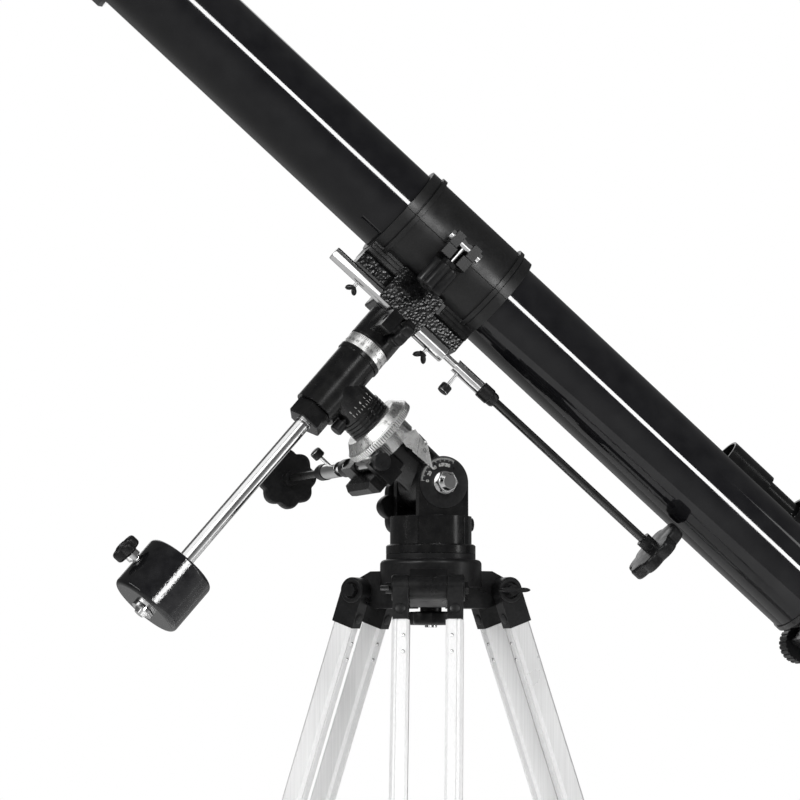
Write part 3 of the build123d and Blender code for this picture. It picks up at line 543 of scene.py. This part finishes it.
azimuth_knob = frame_at(hub_point - UP * 43 * MM, (1, 0, 0), -UP)
hand_knob("azimuth_knob", azimuth_knob, 20.0, 11.0, 5, "azimuth_lock", neck=(9.0, 5.5),
          replaced=("azimuth_lock_knob",))
latitude_point, _ = joint("latitude_lock_turn")
latitude_knob = frame_at(latitude_point + NORTH_SIDE * 34.8 * MM, (1, 0, 0), NORTH_SIDE)
hand_knob("latitude_knob", latitude_knob, 25.0, 12.0, 6, "latitude_lock", neck=(7.0, 6.0),
          replaced=("latitude_lock_knob",))
dec_lock_point, dec_lock_axis = joint("dec_lock_turn")
dec_knob = frame_at(dec_lock_point + dec_lock_axis * 14.5 * MM, rise, dec_lock_axis)
hand_knob("dec_knob", dec_knob, 13.5, 10.0, 5, "dec_lock", depth=0.24, neck=(5.0, 3.0),
          replaced=("dec_lock_knob",))
clamp_point, clamp_axis = joint("clamp_turn")
clamp = frame_at(clamp_point, sky, clamp_axis)
hand_knob("clamp_hand_knob", clamp @ Matrix.Translation((0, 0, 15 * MM)), 13.0, 25.5, 5, "clamp",
          depth=0.3, neck=(7.0, 4.0), replaced=("clamp_knob",))
turned("clamp_screw", clamp, [(0, -8.3), (3.1, -8.3), (3.1, -7.2), (1.9, -6.4), (1.9, -5.6), (2.4, -4.8),
       (2.4, 12), (0, 12)], CHROME, "clamp", 32)

weight_point, weight_axis = joint("counterweight_screw_turn")
weight_screw = frame_at(weight_point, rise, weight_axis)
turned("weight_screw_stem", weight_screw, [(0, 0), (4, 0), (4, 26), (6, 26), (6, 31), (0, 31)], CHROME,
       "counterweight_screw", 40)
hand_knob("weight_knob", weight_screw @ Matrix.Translation((0, 0, 31 * MM)), 12.0, 9.5, 4,
          "counterweight_screw", depth=0.3, neck=(6.0, 0.5),
          replaced=("counterweight_screw",))
for side in LEGS:
    screw_at, screw_out = joint(f"{side}_leg_screw_turn")
    out = frame_at(screw_at, UP, screw_out)
    turned(f"leg_screw_stem_{side}", out, [(0, 0), (3, 0), (3, 8), (0, 8)], CHROME, f"{side}_leg_screw",
           32)
    hand_knob(f"leg_knob_{side}", out @ Matrix.Translation((0, 0, 6.2 * MM)), 11.0, 8.0, 4,
              f"{side}_leg_screw", depth=0.26, neck=(5.0, 1.5),
              replaced=(f"leg_screw_{side}",))

# ---------------------------------------------------------------- dials

def rib(angle, r):
    """The fine knurl of the right-ascension circle's rim."""
    return 1.0 + (0.008 * (0.5 + 0.5 * cos(90 * angle)) if r > 32 else 0.0)


bm = bmesh.new()
lathe(bm, POLAR, [(12.05, 60.0), (31.8, 60.0), (32.6, 60.6), (32.6, 66.0), (31.9, 66.7), (31.2, 67.0),
      (26.0, 73.6), (25.4, 74.0), (12.05, 74.0), (12.05, 60.0)], 600, rib)
piece("ra_circle_ring", bm, SILVER, "ra_circle", ("ra_setting_circle",), sharp=24)

# Hours on the circle's bevel, and marks on its rim
bm = bmesh.new()
bevel_slant = atan2(6.6, 5.2)
for hour in range(24):
    turn = POLAR @ Matrix.Rotation(2 * pi * hour / 24, 4, "Z")
    face = turn @ Matrix.Translation((28.8 * MM, 0, 70.02 * MM)) @ Matrix.Rotation(bevel_slant, 4, "Y")
    bar(bm, face, (1.4, -0.25, 0.0), (3.4, 0.25, 0.09))
    if hour % 2 == 0:
        place = face @ Matrix.Translation((-0.9 * MM, 0, 0)) @ Matrix.Rotation(pi / 2, 4, "Z")
        numeral(bm, str(hour), place, 3.4)
for step in range(90):
    turn = POLAR @ Matrix.Rotation(2 * pi * (step + 0.5) / 90, 4, "Z")
    bar(bm, turn, (32.5, -0.3, 60.9), (32.72, 0.3, 65.8))
piece("ra_circle_figures", bm, BLACK_INK, "ra_circle")

# Degrees round the declination circle
bm = bmesh.new()
for step in range(72):
    turn = DEC @ Matrix.Rotation(2 * pi * step / 72, 4, "Z")
    tall = 3.6 if step % 2 == 0 else 2.2
    bar(bm, turn, (18.9, -0.2, 47.4 - tall), (19.05, 0.2, 47.4))
for step in range(24):
    turn = DEC @ Matrix.Rotation(2 * pi * step / 24, 4, "Z")
    value = abs((step * 15 + 90) % 180 - 90)
    flat = turn @ Matrix.Translation((19.0 * MM, 0, 40.3 * MM)) @ Matrix.Rotation(pi / 2, 4, "Y") \
        @ Matrix.Rotation(pi / 2, 4, "Z")
    numeral(bm, str(value), flat, 3.4)
piece("dec_circle_figures", bm, BLACK_INK, "dec_circle")

# The printed latitude plate on the fork's near cheek
plate = frame_at(pivot - NORTH_SIDE * CHEEK_FACE * MM, (1, 0, 0), -NORTH_SIDE)
turned("latitude_plate", plate, [(9.6, 0), (21.1, 0), (21.3, 0.2), (21.3, 0.5), (20.9, 0.65), (9.6, 0.65),
       (9.6, 0)], PLASTIC, "azimuth_head", 96)
bm = bmesh.new()
for latitude in range(0, 91, 2):
    angle = radians(176 - latitude * 1.25)
    turn = plate @ Matrix.Rotation(angle, 4, "Z")
    long = 3.0 if latitude % 10 == 0 else 1.6
    bar(bm, turn, (20.6 - long, -0.1, 0.6), (20.6, 0.1, 0.72))
    if latitude % 20 == 0 or latitude == 70:
        place = turn @ Matrix.Translation((14.6 * MM, 0, 0.66 * MM)) @ Matrix.Rotation(-pi / 2, 4, "Z")
        numeral(bm, str(latitude), place, 4.0)
piece("latitude_figures", bm, WHITE_INK, "azimuth_head")

# Figures and a line on the latitude pointer's near face
low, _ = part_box("latitude_pointer")
pointer_face = low.y - 0.01 * MM
bm = bmesh.new()
for figure, along, across in (("0", 31.5, 6.0), ("2", 35.5, 11.5)):
    spot = pivot + pole * along * MM + rise * across * MM
    spot.y = pointer_face
    numeral(bm, figure, frame_at(spot, Vector((0.9, 0, 0.35)), -NORTH_SIDE), 5.6)
spot = pivot + pole * 38 * MM + rise * 4.6 * MM
spot.y = pointer_face
bar(bm, frame_at(spot, rise * 0.75 + pole * 0.45, -NORTH_SIDE), (-5.2, -0.14, 0), (7.2, 0.14, 0.08))
piece("pointer_figures", bm, BLACK_INK, "polar_mount")

# Printed marks on the black neck above the right-ascension circle
bm = bmesh.new()
for step in range(-4, 5):
    turn = POLAR @ Matrix.Rotation(-pi / 2 + radians(9 * step), 4, "Z")
    bar(bm, turn, (18.35, -0.12, 89.5), (18.5, 0.12, 92.5 if step % 2 == 0 else 91.3))
    if step % 2 == 0:
        flat = turn @ Matrix.Translation((18.42 * MM, 0, 95.2 * MM)) @ Matrix.Rotation(pi / 2, 4, "Y") \
            @ Matrix.Rotation(pi / 2, 4, "Z")
        numeral(bm, str(abs(step) // 2), flat, 2.8)
piece("neck_figures", bm, WHITE_INK, "declination_head")

# ---------------------------------------------------------------- tripod details

def leg_matrix(side):
    """x across the leg, y outwards, z down along it; the origin is on its hinge."""
    point, fold = joint(f"{side}_leg_fold")
    _, up_leg = joint(f"{side}_leg_slide")
    return frame_at(point, -fold, -up_leg)


def screw_head(bm, where, radius):
    """A small round screw head with a shallow dimple at its centre."""
    lathe(bm, where, [(0, 0), (radius, 0), (radius, radius * 0.25), (radius * 0.8, radius * 0.55),
          (radius * 0.35, radius * 0.66), (0, radius * 0.45)], 24)


# A leg's rails: inner and outer edge across it, half of their depth, and both ends down it
RAIL_IN, RAIL_OUT, HALF_DEPTH, RAIL_FROM, RAIL_END = 14.6, 29.0, 9.25, 30.0, 430.0


def rail(bm, where, x_in, x_out):
    """An extruded rail: chamfered corners, and a shallow groove down its front and back."""
    s = 1 if x_out > x_in else -1
    w = abs(x_out - x_in)
    half = [(0.0, 0.0), (0.0, HALF_DEPTH - 2.2), (2.4, HALF_DEPTH), (w - 5.6, HALF_DEPTH),
            (w - 5.2, HALF_DEPTH - 0.6), (w - 4.4, HALF_DEPTH - 0.6), (w - 4.0, HALF_DEPTH),
            (w - 2.6, HALF_DEPTH), (w, HALF_DEPTH - 2.6), (w, 0.0)]
    outline = half + [(x, -y) for x, y in reversed(half[1:-1])]
    rings = [[bm.verts.new(local(where, x_in + s * x, y, z)) for x, y in outline]
             for z in (RAIL_FROM, RAIL_END)]
    count = len(outline)
    for k in range(count):
        n = (k + 1) % count
        bm.faces.new([rings[0][k], rings[0][n], rings[1][n], rings[1][k]])
    for ring in rings:
        bm.faces.new(ring)


for side in LEGS:
    leg = leg_matrix(side)
    metal = frame["nodes"][f"leg_rails_{side}"].data.materials[0]
    bm = bmesh.new()
    rail(bm, leg, RAIL_IN, RAIL_OUT)
    rail(bm, leg, -RAIL_IN, -RAIL_OUT)
    piece(f"rails_{side}", bm, metal, f"{side}_leg", (f"leg_rails_{side}",), sharp=20)
    bm = bmesh.new()
    for x in (-1, 1):
        for y in (-1, 1):
            for s in (44.0, 58.0):
                spot = leg @ Matrix.Translation((x * 19.6 * MM, y * HALF_DEPTH * MM, s * MM))
                screw_head(bm, spot @ Matrix.Rotation(-y * pi / 2, 4, "X"), 1.7)
    piece(f"rail_screws_{side}", bm, CHROME, f"{side}_leg")
    bm = bmesh.new()
    for x in (-1, 1):
        boss = leg @ Matrix.Translation((x * 28.3 * MM, 0, 0)) @ Matrix.Rotation(x * pi / 2, 4, "Y")
        lathe(bm, boss, [(6.4, 0), (10.6, 0), (10.6, 0.9), (9.8, 1.5), (7.2, 1.5), (6.4, 0.9), (6.4, 0)], 48)
        for y in (-1, 1):
            stud = leg @ Matrix.Translation((x * 22.0 * MM, y * 10.4 * MM, 21.5 * MM)) \
                @ Matrix.Rotation(-y * pi / 2, 4, "X")
            lathe(bm, stud, [(0, 0), (4.6, 0), (4.4, 0.6), (3.8, 0.9), (0, 0.9)], 40)
    piece(f"bracket_bosses_{side}", bm, PLASTIC, f"{side}_leg")

# ---------------------------------------------------------------- tube details

bm = bmesh.new()
for z in (-56.0, 55.4):
    lathe(bm, TUBE, [(39.05, z), (42.8, z - 0.4), (43.2, z + 0.3), (42.8, z + 1.0), (39.05, z + 0.6),
          (39.05, z)], 96)
piece("cradle_felt_lips", bm, RUBBER, "saddle")
bm = bmesh.new()
lathe(bm, TUBE, [(46.02, 470.0), (46.5, 470.4), (46.6, 477.0), (46.5, 484.6), (46.0, 485.2), (43.9, 485.2),
      (43.9, 484.0), (46.02, 484.0), (46.02, 470.0)], 96)
piece("dew_shield_band", bm, PLASTIC, "telescope")

# Strips pressed along the cradle's foot, at both sides of the block
bm = bmesh.new()
for face in (-1, 1):
    backing, strip = sorted((face * 16.9, face * 17.2)), sorted((face * 17.1, face * 17.9))
    for z_low, z_high in ((-55.8, -24.5), (24.5, 55.8)):
        bar(bm, TUBE, (-50.4, backing[0], z_low), (-37.9, backing[1], z_high))
        for x in (-50.1, -46.0, -41.9):
            bar(bm, TUBE, (x, strip[0], z_low + 0.4), (x + 2.8, strip[1], z_high - 0.4))
piece("cradle_foot_strips", bm, PAINT, "saddle")

# Rubber grip and eye lens of the eyepiece
barrel = frame_at(TUBE @ Vector((0, 0, -563 * MM)), sky, rise)
bm = bmesh.new()
for k in range(9):
    z = 38.5 + 2.3 * k
    lathe(bm, barrel, [(18.4, z), (19.1, z + 0.3), (19.1, z + 1.4), (18.4, z + 1.7), (18.4, z)], 64)
piece("eyepiece_grip", bm, RUBBER, "diagonal")
turned("eye_lens", barrel, [(0, 62.4), (9, 62.4), (9, 63.6), (6, 64.4), (3, 64.8), (0, 64.9)], GLASS,
       "diagonal", 48)


# ---------------------------------------------------------------- stage, lights and camera

def floor():
    """A pale disc just under the feet."""
    bm = bmesh.new()
    lathe(bm, frame_at((0, 0, -0.001), (1, 0, 0), UP), [(0, 0), (760, 0), (775, -3), (775, -8), (0, -8)], 128)
    made = bpy.data.meshes.new("floor")
    shade(bm)
    bm.to_mesh(made)
    bm.free()
    pale, shader = principled("pale_floor", (0.8, 0.8, 0.8), 0.7)
    link(pale, blended(pale, noise(pale, 6.0, 4.0), (0.77, 0.77, 0.77), (0.83, 0.83, 0.83)),
         shader, "Base Color")
    made.materials.append(pale)
    disc = bpy.data.objects.new("floor", made)
    bpy.context.scene.collection.objects.link(disc)


def softbox(name, place, target, size, power, along=(1, 0, 0), receivers=None):
    """A rectangular light that faces a target, with its first side along a direction. It lights only its
    receivers, or everything where none are named."""
    lamp = bpy.data.lights.new(name, "AREA")
    lamp.shape = "RECTANGLE"
    lamp.size, lamp.size_y = size
    lamp.energy = power
    made = bpy.data.objects.new(name, lamp)
    back = (Vector(place) - Vector(target)).normalized()
    made.matrix_world = frame_at(place, along, back)
    made.light_linking.receiver_collection = receivers
    bpy.context.scene.collection.objects.link(made)


def studio():
    """A white backdrop for the camera; reflections see a pale floor below and a dark room above."""
    floor_glow, room_glow, backdrop = 0.55, 0.12, 1.0
    world = bpy.data.worlds.new("studio")
    world.use_nodes = True
    nodes, links = world.node_tree.nodes, world.node_tree.links
    background = nodes["Background"]
    where = nodes.new("ShaderNodeTexCoord")
    split = nodes.new("ShaderNodeSeparateXYZ")
    links.new(where.outputs["Generated"], split.inputs["Vector"])
    height = nodes.new("ShaderNodeMapRange")
    height.interpolation_type = "SMOOTHSTEP"
    height.inputs["From Min"].default_value, height.inputs["To Min"].default_value = -0.55, floor_glow
    height.inputs["From Max"].default_value, height.inputs["To Max"].default_value = 0.1, room_glow
    links.new(split.outputs["Z"], height.inputs["Value"])
    ray = nodes.new("ShaderNodeLightPath")
    mix = nodes.new("ShaderNodeMix")
    links.new(height.outputs["Result"], mix.inputs["A"])
    mix.inputs["B"].default_value = backdrop
    links.new(ray.outputs["Is Camera Ray"], mix.inputs["Factor"])
    background.inputs["Color"].default_value = (1, 1, 1, 1)
    links.new(mix.outputs["Result"], background.inputs["Strength"])
    bpy.context.scene.world = world
    bpy.context.scene.view_settings.view_transform = "Standard"

    # Each finish has its own lights: narrow strips on the gloss tube, the cradle and the counterweight, small
    # ones on the block and the black castings, and a broad wash on the pale pieces
    groups = {name: bpy.data.collections.new(name)
              for name in ("gloss", "satin", "rough", "paint", "weight", "pale")}
    finishes = {ENAMEL: "gloss", CRADLE: "satin", HAMMER: "rough", PAINT: "paint", PLASTIC: "paint",
                WEIGHT: "weight", RODS: None, RUBBER: None}
    for each in bpy.context.scene.objects:
        if each.type != "MESH" or not each.data.materials:
            continue
        group = finishes.get(each.data.materials[0], "pale")
        if group:
            groups[group].objects.link(each)
    middle = TUBE @ Vector((0, 0, 0))
    key = middle + Vector((0.053, -0.977, 0.204)).normalized() * 1.8 + sky * 0.1
    softbox("key", key, middle, (3.0, 0.27), 100, sky, groups["gloss"])
    softbox("cradle_key", key, middle, (3.0, 0.27), 34, sky, groups["satin"])
    softbox("block_key", hub_point + Vector((0.55, -1.8, 0.2)), dec_origin, (0.5, 0.5), 9, sky,
            groups["rough"])
    for name, aside, size, power in (("wash", (-1.9, -2.7, 0.7), (4.4, 3.4), 84),
                                     ("wash_right", (2.7, -1.3, 0.1), (1.3, 3.0), 14),
                                     ("wash_top", (-2.6, -0.6, 2.4), (3.6, 3.6), 40)):
        softbox(name, hub_point + Vector(aside), hub_point, size, power, receivers=groups["pale"])
    weight = DEC @ Vector((0, 0, -218 * MM))
    softbox("weight_key", weight + Vector((0.015, -1.5, 0)) + rise * 0.49, weight, (3.0, 0.4), 95, rise,
            groups["weight"])
    for name, aside in (("glint_left", (-0.82, -0.571, 0)), ("glint_right", (0.131, -0.991, 0))):
        softbox(name, hub_point + Vector(aside) * 1.5 + UP * 0.95, hub_point, (0.2, 0.2), 7,
                receivers=groups["paint"])
    softbox("band", hub_point + Vector((1.9, -1.4, 0.3)), hub_point, (0.3, 1.8), 6)
    softbox("edge", hub_point + Vector((-2.1, -0.4, 0.9)), hub_point, (0.3, 1.8), 8)
    under = bpy.data.collections.new("under")
    under.objects.link(bpy.data.objects["floor"])
    softbox("floor_light", Vector((0, 0, 3.2)), Vector((0, 0, 0)), (2.5, 2.5), 110, receivers=under)
    softbox("behind", hub_point + Vector((0.6, 2.4, 1.2)), hub_point, (1.6, 1.6), 8)


def camera():
    """The photograph's viewpoint: a long lens a little below the mount, looking slightly up."""
    lens = bpy.data.cameras.new("camera")
    lens.lens = 135
    lens.sensor_width = 36
    lens.clip_start = 0.05
    azimuth, elevation = radians(-21.5), radians(-5.2)
    back = Vector((sin(azimuth) * cos(elevation), -cos(azimuth) * cos(elevation), sin(elevation)))
    right = Vector((cos(azimuth), sin(azimuth), 0))
    place = hub_point + Vector((-940.8, -2318.3, -93.8)) * MM
    made = bpy.data.objects.new("camera", lens)
    made.matrix_world = frame_at(place, right, back)
    bpy.context.scene.collection.objects.link(made)
    bpy.context.scene.camera = made


floor()
studio()
camera()
